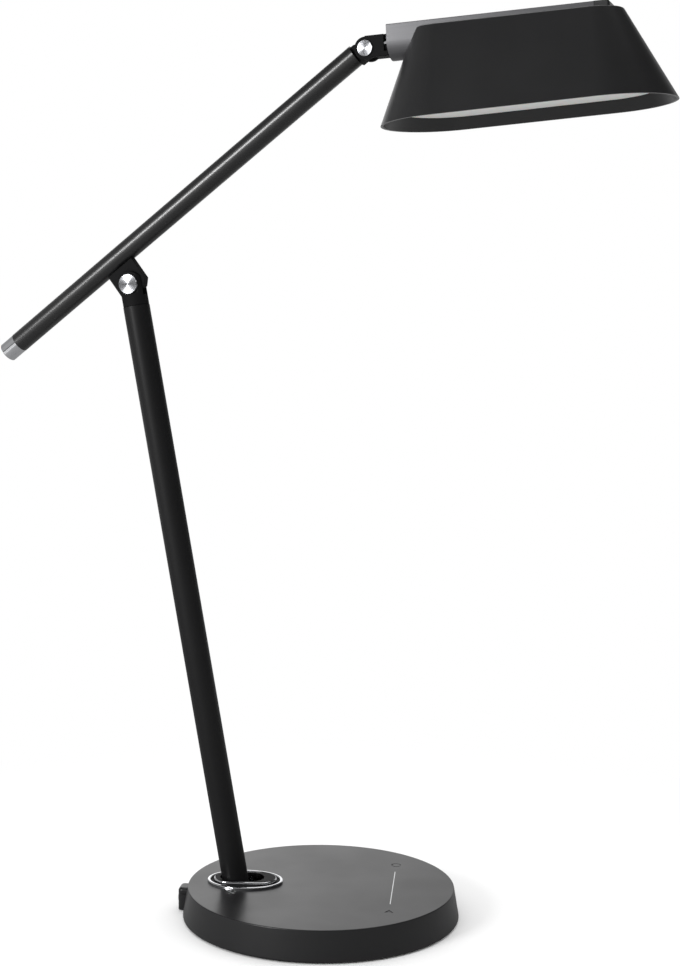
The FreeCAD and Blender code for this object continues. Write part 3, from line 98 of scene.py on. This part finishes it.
def mouldedAbs(name, hexColor, roughness):
    # ABS from a spark-eroded mould: a broad sheen, very slightly broken by a fine even grain
    material, tree, shader, place = newMaterial(name, {"IOR": absLook["ior"]})
    grain = addNode(tree, "ShaderNodeTexNoise", {"Vector": place, "Scale": perMm(absLook["grainMm"]),
                                                 "Detail": 3.0, "Roughness": 0.6}).outputs["Fac"]
    cloud = addNode(tree, "ShaderNodeTexNoise", {"Vector": place, "Scale": perMm(absLook["driftMm"]),
                                                 "Detail": 2.0}).outputs["Fac"]
    dark, light = (linear(hexColor, share) for share in absLook["grainTones"])
    tone = addNode(tree, "ShaderNodeMix", {mixFactor: grain, mixFirst: dark, mixSecond: light},
                   data_type="RGBA")
    sheen = addNode(tree, "ShaderNodeMapRange", {"Value": cloud, "From Min": noiseLow, "From Max": noiseHigh,
                                                 "To Min": roughness - absLook["drift"],
                                                 "To Max": roughness + absLook["drift"]})
    bump = addNode(tree, "ShaderNodeBump", {"Height": grain, "Strength": 0.25,
                                            "Distance": mm(absLook["grainDepthMm"])})
    feed(tree, shader, {"Base Color": tone.outputs[mixResult], "Roughness": sheen.outputs["Result"],
                        "Normal": bump.outputs["Normal"]})
    return material


powderLook = {
    "ior": 1.5,
    "specular": 0.12,
    "filmRoughness": 0.3,
    "filmIor": 1.6,
    "peelMm": 1.9,
    "peelDepthMm": 0.04,
    "dustMm": 22,  # patches that are a little paler and duller
    "dustTones": (0.85, 1.15),  # shares of the colour
    "dustSheen": (-0.02, 0.03),  # added to the roughness
}


def powderCoat(name, hexColor, roughness, gloss):
    # black polyester powder on metal: the faint swell of orange peel, under as much shiny film as the gloss
    material, tree, shader, place = newMaterial(name, {"IOR": powderLook["ior"],
                                                       "Specular IOR Level": powderLook["specular"],
                                                       "Coat Weight": gloss,
                                                       "Coat Roughness": powderLook["filmRoughness"],
                                                       "Coat IOR": powderLook["filmIor"]})
    peel = addNode(tree, "ShaderNodeTexNoise", {"Vector": place, "Scale": perMm(powderLook["peelMm"]),
                                                "Detail": 1.5}).outputs["Fac"]
    dust = addNode(tree, "ShaderNodeTexNoise", {"Vector": place, "Scale": perMm(powderLook["dustMm"]),
                                                "Detail": 3.0}).outputs["Fac"]
    dark, light = (linear(hexColor, share) for share in powderLook["dustTones"])
    tone = addNode(tree, "ShaderNodeMix", {mixFactor: dust, mixFirst: dark, mixSecond: light},
                   data_type="RGBA")
    smooth, dull = (roughness + change for change in powderLook["dustSheen"])
    sheen = addNode(tree, "ShaderNodeMapRange", {"Value": dust, "From Min": noiseLow, "From Max": noiseHigh,
                                                 "To Min": smooth, "To Max": dull})
    bump = addNode(tree, "ShaderNodeBump", {"Height": peel, "Strength": 0.04,
                                            "Distance": mm(powderLook["peelDepthMm"])})
    feed(tree, shader, {"Base Color": tone.outputs[mixResult], "Roughness": sheen.outputs["Result"],
                        "Normal": bump.outputs["Normal"]})
    return material


chromeLook = {
    "tones": ("#d9dadd", "#e6e7e9"),
    "hazeMm": 6,
    "roughness": (0.05, 0.1),
}


def polishedChrome(name):
    # buffed brass with a nickel and chrome skin: a true mirror with the ghost of buffing haze
    material, tree, shader, place = newMaterial(name, {"Metallic": 1.0})
    haze = addNode(tree, "ShaderNodeTexNoise", {"Vector": place, "Scale": perMm(chromeLook["hazeMm"]),
                                                "Detail": 4.0}).outputs["Fac"]
    dark, light = map(linear, chromeLook["tones"])
    tone = addNode(tree, "ShaderNodeMix", {mixFactor: haze, mixFirst: dark, mixSecond: light},
                   data_type="RGBA")
    smooth, dull = chromeLook["roughness"]
    sheen = addNode(tree, "ShaderNodeMapRange", {"Value": haze, "From Min": noiseLow, "From Max": noiseHigh,
                                                 "To Min": smooth, "To Max": dull})
    feed(tree, shader, {"Base Color": tone.outputs[mixResult], "Roughness": sheen.outputs["Result"]})
    return material


trimLook = {
    "flatsMm": (21.8, 24.1),  # heights of the trim's two flats
    "flatReachMm": 0.08,  # how far above and below them the painted dark reflection goes
    # near-black painted on the flats as a painted dark reflection, not a real lacquer
    "paintedDarkReflection": "#0b0b0c",
    "specular": 0.1,  # of the painted dark flats
    "roughness": (0.08, 0.5),  # of the chrome and of the painted dark flats
}


def edgedChrome(name):
    # chrome left bright on the rounded edges only: the flats between them are painted black, a painted dark
    # reflection where the chrome would mirror the dark room
    material, tree, shader, place = newMaterial(name, {"IOR": 1.5,
                                                       "Specular IOR Level": trimLook["specular"]})
    height = addNode(tree, "ShaderNodeSeparateXYZ", {0: place}).outputs["Z"]
    lower, upper = (addNode(tree, "ShaderNodeMath", {0: height, 1: mm(flat), 2: mm(trimLook["flatReachMm"])},
                            operation="COMPARE").outputs["Value"] for flat in trimLook["flatsMm"])
    # mask of the two flats, where the painted dark reflection replaces the chrome
    paintedDarkReflection = addNode(tree, "ShaderNodeMath", {0: lower, 1: upper}, operation="MAXIMUM").outputs["Value"]
    haze = addNode(tree, "ShaderNodeTexNoise", {"Vector": place, "Scale": perMm(chromeLook["hazeMm"]),
                                                "Detail": 4.0}).outputs["Fac"]
    dark, light = map(linear, chromeLook["tones"])
    plate = addNode(tree, "ShaderNodeMix", {mixFactor: haze, mixFirst: dark, mixSecond: light},
                    data_type="RGBA")
    tone = addNode(tree, "ShaderNodeMix", {mixFactor: paintedDarkReflection, mixFirst: plate.outputs[mixResult],
                                           mixSecond: linear(trimLook["paintedDarkReflection"])}, data_type="RGBA")
    metal = addNode(tree, "ShaderNodeMapRange", {"Value": paintedDarkReflection, "To Min": 1.0, "To Max": 0.0})
    smooth, dull = trimLook["roughness"]
    sheen = addNode(tree, "ShaderNodeMapRange", {"Value": paintedDarkReflection, "To Min": smooth, "To Max": dull})
    feed(tree, shader, {"Base Color": tone.outputs[mixResult], "Metallic": metal.outputs["Result"],
                        "Roughness": sheen.outputs["Result"]})
    return material


discLook = {
    "anisotropic": 0.95,
    "ringMm": 0.25,  # wider than real turning marks, so that they show
    "tones": ("#838487", "#a5a6a9"),
    "roughness": (0.26, 0.34),
}


def turnedChrome(name, centre, axis):
    # a disc faced on a lathe and plated: its fine rings draw the light into a bow tie
    material, tree, shader, place = newMaterial(name, {"Metallic": 1.0,
                                                       "Anisotropic": discLook["anisotropic"],
                                                       "Anisotropic Rotation": acrossGrooves})
    spoke = addNode(tree, "ShaderNodeVectorMath", {0: place, 1: centre}, operation="SUBTRACT")
    around = addNode(tree, "ShaderNodeVectorMath", {0: axis, 1: spoke.outputs["Vector"]},
                     operation="CROSS_PRODUCT").outputs["Vector"]
    reach = addNode(tree, "ShaderNodeVectorMath", {0: around}, operation="LENGTH")
    tangent = addNode(tree, "ShaderNodeVectorTransform", {"Vector": around}, vector_type="VECTOR",
                      convert_from="OBJECT", convert_to="WORLD")
    rings = addNode(tree, "ShaderNodeTexNoise", {"W": reach.outputs["Value"],
                                                 "Scale": perMm(discLook["ringMm"]), "Detail": 2.0},
                    noise_dimensions="1D").outputs["Fac"]
    dark, light = map(linear, discLook["tones"])
    tone = addNode(tree, "ShaderNodeMix", {mixFactor: rings, mixFirst: dark, mixSecond: light},
                   data_type="RGBA")
    smooth, dull = discLook["roughness"]
    sheen = addNode(tree, "ShaderNodeMapRange", {"Value": rings, "From Min": noiseLow, "From Max": noiseHigh,
                                                 "To Min": smooth, "To Max": dull})
    feed(tree, shader, {"Tangent": tangent.outputs["Vector"], "Base Color": tone.outputs[mixResult],
                        "Roughness": sheen.outputs["Result"]})
    return material


spineLook = {
    "anisotropic": 0.6,
    "strokeMm": (45, 0.35, 0.35),  # along and across the spine, wider than real strokes, so that they show
    "tones": ("#6e6e70", "#818183"),
    "roughness": (0.36, 0.46),
}


def brushedAluminium(name):
    # extruded, brushed along its length and grey anodised: long faint strokes, light spread across them
    material, tree, shader, place = newMaterial(name, {"Metallic": 1.0,
                                                       "Anisotropic": spineLook["anisotropic"],
                                                       "Anisotropic Rotation": acrossGrooves})
    strokes = addNode(tree, "ShaderNodeMapping", {"Vector": place, "Location": headPlace,
                                                  "Rotation": headFrame.to_euler(),
                                                  "Scale": [mm(size) for size in spineLook["strokeMm"]]},
                      vector_type="TEXTURE")
    brushing = addNode(tree, "ShaderNodeTexNoise", {"Vector": strokes.outputs["Vector"], "Scale": 1.0,
                                                    "Detail": 3.0, "Roughness": 0.65}).outputs["Fac"]
    tangent = addNode(tree, "ShaderNodeVectorTransform", {"Vector": spineAxis}, vector_type="VECTOR",
                      convert_from="OBJECT", convert_to="WORLD")
    dark, light = map(linear, spineLook["tones"])
    tone = addNode(tree, "ShaderNodeMix", {mixFactor: brushing, mixFirst: dark, mixSecond: light},
                   data_type="RGBA")
    smooth, dull = spineLook["roughness"]
    sheen = addNode(tree, "ShaderNodeMapRange", {"Value": brushing, "From Min": noiseLow,
                                                 "From Max": noiseHigh, "To Min": smooth, "To Max": dull})
    feed(tree, shader, {"Tangent": tangent.outputs["Vector"], "Base Color": tone.outputs[mixResult],
                        "Roughness": sheen.outputs["Result"]})
    return material


guideLook = {
    "ior": 1.49,
    "roughness": 0.35,
    "sliderHalfMm": 36,  # the two end marks lie further out than this
    "frostMm": 0.6,
    "frost": ("#b4b5b6", "#cfd0d1"),
    "smoke": "#161617",
}


def lightGuide(name):
    # clear-tinted inlays: the slider's strip is frosted and pale, the two end marks are smoked
    material, tree, shader, place = newMaterial(name, {"Roughness": guideLook["roughness"],
                                                       "IOR": guideLook["ior"]})
    along = addNode(tree, "ShaderNodeSeparateXYZ", {0: place})
    reach = addNode(tree, "ShaderNodeMath", {0: along.outputs["Y"]}, operation="ABSOLUTE")
    smoked = addNode(tree, "ShaderNodeMath", {0: reach.outputs["Value"], 1: mm(guideLook["sliderHalfMm"])},
                     operation="GREATER_THAN")
    frost = addNode(tree, "ShaderNodeTexNoise", {"Vector": place, "Scale": perMm(guideLook["frostMm"]),
                                                 "Detail": 2.0}).outputs["Fac"]
    dark, light = map(linear, guideLook["frost"])
    pale = addNode(tree, "ShaderNodeMix", {mixFactor: frost, mixFirst: dark, mixSecond: light},
                   data_type="RGBA")
    tone = addNode(tree, "ShaderNodeMix", {mixFactor: smoked.outputs["Value"],
                                           mixFirst: pale.outputs[mixResult],
                                           mixSecond: linear(guideLook["smoke"])}, data_type="RGBA")
    feed(tree, shader, {"Base Color": tone.outputs[mixResult]})
    return material


def grainedSolid(name, tones, grainMm, depthMm, roughness, inputs, drift=0.06):
    # one even stuff with two near tones: the grain's size, its relief and the gloss tell them apart
    material, tree, shader, place = newMaterial(name, inputs)
    grain = addNode(tree, "ShaderNodeTexNoise", {"Vector": place, "Scale": perMm(grainMm),
                                                 "Detail": 4.0}).outputs["Fac"]
    dark, light = map(linear, tones)
    tone = addNode(tree, "ShaderNodeMix", {mixFactor: grain, mixFirst: dark, mixSecond: light},
                   data_type="RGBA")
    sheen = addNode(tree, "ShaderNodeMapRange", {"Value": grain, "From Min": 0.25, "From Max": 0.75,
                                                 "To Min": roughness - drift, "To Max": roughness + drift})
    bump = addNode(tree, "ShaderNodeBump", {"Height": grain, "Strength": 0.5, "Distance": mm(depthMm)})
    feed(tree, shader, {"Base Color": tone.outputs[mixResult], "Roughness": sheen.outputs["Result"],
                        "Normal": bump.outputs["Normal"]})
    return material


shellAbs = mouldedAbs("satin moulded ABS", "#1a1a1b", roughness=0.3)
shadeAbs = mouldedAbs("black moulded ABS", "#1c1c1d", roughness=0.36)
tubePowder = powderCoat("satin black powder coated tube", "#0a0a0b", roughness=0.4, gloss=1.0)
postPowder = powderCoat("dull black powder coated tube", "#101011", roughness=0.55, gloss=0.25)
castPowder = powderCoat("matt black powder coated casting", "#101011", roughness=0.68, gloss=0.0)
chrome = polishedChrome("polished chrome plate")
# chrome trim with a painted dark reflection on its flats
trimChrome = edgedChrome("chrome plate with painted dark reflection on its flats")
elbowChrome = turnedChrome("turned chrome plate, elbow", elbowPlace, elbowAxis)
headChrome = turnedChrome("turned chrome plate, head", headPlace, headAxis)
aluminium = brushedAluminium("brushed anodised aluminium")
# frosted: pale all through, with a soft gloss
opal = grainedSolid("opal acrylic", ("#bebebc", "#c8c8c6"), grainMm=0.8, depthMm=0.01, roughness=0.45,
                    inputs={"IOR": 1.49, "Subsurface Weight": 0.25, "Subsurface Scale": mm(2)})
# clouded bright plating
zinc = grainedSolid("zinc plated steel", ("#9d9fa3", "#c3c5c9"), grainMm=3.0, depthMm=0.01, roughness=0.38,
                    inputs={"Metallic": 1.0})
# the rough dark skin of sand casting
iron = grainedSolid("cast iron", ("#2c2b2a", "#474543"), grainMm=1.4, depthMm=0.2, roughness=0.7,
                    inputs={"Metallic": 0.6})
# open cells
foam = grainedSolid("black foam rubber", ("#131313", "#232323"), grainMm=0.9, depthMm=0.25, roughness=0.9,
                    inputs={"IOR": 1.45})
# glossy lacquer over glass cloth
solderMask = grainedSolid("green solder mask", ("#123a22", "#1a4a2c"), grainMm=5.0, depthMm=0.01,
                          roughness=0.4, inputs={"IOR": 1.5, "Coat Weight": 0.4})
# dull black with a fine grit
epoxy = grainedSolid("moulded epoxy", ("#141415", "#1f1f21"), grainMm=0.3, depthMm=0.02, roughness=0.55,
                     inputs={"IOR": 1.55})
# waxy, slightly see-through
nylon = grainedSolid("natural nylon", ("#d6d4cb", "#e4e2da"), grainMm=1.2, depthMm=0.01, roughness=0.42,
                     inputs={"IOR": 1.53, "Subsurface Weight": 0.15, "Subsurface Scale": mm(1)})
# soft, half dull
sheath = grainedSolid("soft PVC sheath", ("#121212", "#1d1d1d"), grainMm=0.7, depthMm=0.02, roughness=0.5,
                      inputs={"IOR": 1.52})
# a smooth wet-looking yellow
phosphor = grainedSolid("yellow phosphor gel", ("#d9b84a", "#e7cb6a"), grainMm=0.4, depthMm=0.01,
                        roughness=0.25, inputs={"IOR": 1.41})
touchGuide = lightGuide("frosted light guide")

wearing = {
    shellAbs: ["base_shell", "port_housing", "dc_inlet"],
    shadeAbs: ["shade", "spine_end_cap"],
    tubePowder: ["upper_tube"],
    postPowder: ["lower_tube"],
    castPowder: ["elbow_fork", "elbow_lug", "head_tongue", "head_knuckle", "foot_knuckle"],
    chrome: ["tail_cap", "stop_pin"],
    trimChrome: ["slot_trim"],
    elbowChrome: ["elbow_bolt", "elbow_nut"],
    headChrome: ["head_bolt", "head_nut"],
    aluminium: ["spine", "led_tray"],
    opal: ["diffuser"],
    zinc: ["base_plate", "base_screws", "weight_screws", "tilt_yoke", "yoke_rivets", "tilt_pin", "tilt_nut",
           "swivel_ring", "roll_shaft", "roll_ring", "tray_screws"],
    iron: ["base_weight"],
    foam: ["foot_pad"],
    touchGuide: ["touch_marks"],
    solderMask: ["touch_board", "led_board"],
    epoxy: ["board_components"],
    nylon: ["swivel_bush", "elbow_washers", "tilt_washers", "head_washers", "spine_plug"],
    sheath: ["lower_lead", "upper_lead"],
    phosphor: ["leds"],
}
for material, names in wearing.items():
    for name in names:
        for slot in nodes[name].material_slots:
            slot.material = material
print("materials on", sum(len(names) for names in wearing.values()), "nodes")

paperFloor = {
    "size": 8.0,  # metres
    "color": "#f4f4f4",
    "whiteFrom": 0.15,  # metres from the middle, where the floor begins to run out to white
    "whiteTo": 0.5,
    "glossColor": "#8e8e8e",  # the floor near the lamp, as gloss sees it
    "brightFrom": 0.8,  # metres from the middle, where gloss begins to see the floor's own colour
    "brightTo": 2.0,
}


def makeFloor():
    # white paper that keeps the shadow near the base and runs into the white backdrop
    bpy.ops.object.select_all(action="DESELECT")
    bpy.ops.mesh.primitive_plane_add(size=paperFloor["size"], location=(0, 0, 0))
    floor = bpy.context.object
    floor.name = "floor"
    material = bpy.data.materials.new("white paper floor")
    material.use_nodes = True
    tree = material.node_tree
    tree.nodes.remove(tree.nodes["Principled BSDF"])
    place = addNode(tree, "ShaderNodeTexCoord").outputs["Object"]
    reach = addNode(tree, "ShaderNodeVectorMath", {0: place}, operation="LENGTH").outputs["Value"]
    far = addNode(tree, "ShaderNodeMapRange", {"Value": reach, "From Min": paperFloor["whiteFrom"],
                                               "From Max": paperFloor["whiteTo"]},
                  interpolation_type="SMOOTHSTEP")
    path = addNode(tree, "ShaderNodeLightPath")
    shown = addNode(tree, "ShaderNodeMath", {0: far.outputs["Result"], 1: path.outputs["Is Camera Ray"]},
                    operation="MULTIPLY")
    distant = addNode(tree, "ShaderNodeMapRange", {"Value": reach, "From Min": paperFloor["brightFrom"],
                                                   "From Max": paperFloor["brightTo"]})
    own = linear(paperFloor["color"])
    mirrored = addNode(tree, "ShaderNodeMix", {mixFactor: distant.outputs["Result"],
                                               mixFirst: linear(paperFloor["glossColor"]), mixSecond: own},
                       data_type="RGBA")
    tone = addNode(tree, "ShaderNodeMix", {mixFactor: path.outputs["Is Glossy Ray"], mixFirst: own,
                                           mixSecond: mirrored.outputs[mixResult]}, data_type="RGBA")
    paper = addNode(tree, "ShaderNodeBsdfDiffuse", {"Color": tone.outputs[mixResult]})
    white = addNode(tree, "ShaderNodeEmission", {"Strength": 1.0})
    both = addNode(tree, "ShaderNodeMixShader", {0: shown.outputs["Value"], 1: paper.outputs["BSDF"],
                                                 2: white.outputs["Emission"]})
    feed(tree, tree.nodes["Material Output"], {"Surface": both.outputs["Shader"]})
    floor.data.materials.append(material)


# what lights the lamp and what its gloss sees, by the direction's X to the right, Y to the back and Z up
studioRoom = {
    "ambient": 0.88,  # what matt surfaces get from all round
    "frontLeftX": -0.5,
    "frontLeftGlow": 0.4,
    "frontRightX": 0.4,
    "frontRightGlow": 0.06,
    "backLeftX": -0.2,
    "backLeftGlow": 1.5,
    "backRightX": 0.02,
    "backRightGlow": 0.7,
    "frontToY": 0.72,  # the front fades into the backdrop from here
    "backFromY": 0.94,
    "lowToZ": -0.08,  # below this the room is dark
    "lowGlow": 0.03,
    "fullFromZ": 0.12,
    "fullToZ": 0.4,
    "topFromZ": 0.75,
    "topShare": 0.15,  # of the glow, which is left overhead
}


def makeWorld():
    world = bpy.data.worlds.new("studio")
    bpy.context.scene.world = world
    world.use_nodes = True
    tree = world.node_tree
    direction = addNode(tree, "ShaderNodeTexCoord").outputs["Generated"]
    along = addNode(tree, "ShaderNodeSeparateXYZ", {0: direction})
    backdrop = addNode(tree, "ShaderNodeMapRange", {"Value": along.outputs["X"],
                                                    "From Min": studioRoom["backLeftX"],
                                                    "From Max": studioRoom["backRightX"],
                                                    "To Min": studioRoom["backLeftGlow"],
                                                    "To Max": studioRoom["backRightGlow"]})
    front = addNode(tree, "ShaderNodeMapRange", {"Value": along.outputs["X"],
                                                 "From Min": studioRoom["frontLeftX"],
                                                 "From Max": studioRoom["frontRightX"],
                                                 "To Min": studioRoom["frontLeftGlow"],
                                                 "To Max": studioRoom["frontRightGlow"]})
    around = addNode(tree, "ShaderNodeMapRange", {"Value": along.outputs["Y"],
                                                  "From Min": studioRoom["frontToY"],
                                                  "From Max": studioRoom["backFromY"],
                                                  "To Min": front.outputs["Result"],
                                                  "To Max": backdrop.outputs["Result"]},
                     interpolation_type="SMOOTHSTEP")
    standing = addNode(tree, "ShaderNodeMapRange", {"Value": along.outputs["Z"],
                                                    "From Min": studioRoom["lowToZ"],
                                                    "From Max": studioRoom["fullFromZ"],
                                                    "To Min": studioRoom["lowGlow"],
                                                    "To Max": around.outputs["Result"]},
                       interpolation_type="SMOOTHSTEP")
    upper = addNode(tree, "ShaderNodeMapRange", {"Value": along.outputs["Z"],
                                                 "From Min": studioRoom["fullToZ"],
                                                 "From Max": studioRoom["topFromZ"], "To Min": 1.0,
                                                 "To Max": studioRoom["topShare"]})
    seen = addNode(tree, "ShaderNodeMath", {0: standing.outputs["Result"], 1: upper.outputs["Result"]},
                   operation="MULTIPLY")
    path = addNode(tree, "ShaderNodeLightPath")
    gloss = addNode(tree, "ShaderNodeMath", {0: path.outputs["Is Glossy Ray"],
                                             1: path.outputs["Is Transmission Ray"]}, operation="MAXIMUM")
    lit = addNode(tree, "ShaderNodeMix", {mixFactor: gloss.outputs["Value"],
                                          numberFirst: studioRoom["ambient"],
                                          numberSecond: seen.outputs["Value"]}, data_type="FLOAT")
    strength = addNode(tree, "ShaderNodeMath", {0: lit.outputs[numberResult],
                                                1: path.outputs["Is Camera Ray"]}, operation="MAXIMUM")
    feed(tree, tree.nodes["Background"], {"Color": (1, 1, 1, 1), "Strength": strength.outputs["Value"]})


softboxes = {
    # places and sizes in metres: the strip lies along the upper arm, and the tube shows it as one thin line
    "strip": {"place": (-0.967, -1.107, 0.69), "aim": (-0.05, -0.02, 0.5), "along": (0.698, -0.315, 0.643),
              "size": (0.5, 0.22), "watts": 12.0},
    "overhead": {"place": (0.1, 0.55, 1.75), "aim": (0.1, 0.55, 0.0), "along": (1.0, 0.0, 0.0),
                 "size": (1.4, 1.2), "watts": 8.0},
}


def makeLights():
    for name, box in softboxes.items():
        bpy.ops.object.light_add(type="AREA", location=box["place"])
        light = bpy.context.object
        light.name = name
        light.data.shape = "RECTANGLE"
        light.data.size, light.data.size_y = box["size"]
        light.data.energy = box["watts"]
        back = (Vector(box["place"]) - Vector(box["aim"])).normalized()
        across = back.cross(Vector(box["along"])).normalized()
        light.rotation_euler = Matrix((across.cross(back), across, back)).transposed().to_euler()


camera = {
    "placeMm": (133.2, -1134.62, 398.53),
    "turn": 6.176,  # degrees, from looking along +Y towards -X
    "pitch": 4.993,  # degrees, looking down
    "roll": 0.545,  # degrees
    "focal": 1700.0,  # pixels in the 680 x 966 frame
    "frameHeight": 966,  # pixels
    "sensorMm": 36.0,
}


def makeCamera():
    turn, pitch, roll = (math.radians(camera[key]) for key in ("turn", "pitch", "roll"))
    forward = Vector((-math.sin(turn) * math.cos(pitch), math.cos(turn) * math.cos(pitch), -math.sin(pitch)))
    level = Vector((math.cos(turn), math.sin(turn), 0.0))
    upright = level.cross(forward)
    right = math.cos(roll) * level + math.sin(roll) * upright
    top = math.cos(roll) * upright - math.sin(roll) * level
    bpy.ops.object.camera_add()
    viewer = bpy.context.object
    facing = Matrix((right, top, -forward)).transposed().to_4x4()
    viewer.matrix_world = Matrix.Translation([mm(value) for value in camera["placeMm"]]) @ facing
    viewer.data.sensor_width = camera["sensorMm"]
    viewer.data.lens = camera["focal"] * camera["sensorMm"] / camera["frameHeight"]
    bpy.context.scene.camera = viewer


makeFloor()
makeWorld()
makeLights()
makeCamera()
bpy.context.scene.view_settings.view_transform = "Standard"
print("stage, light and camera set")
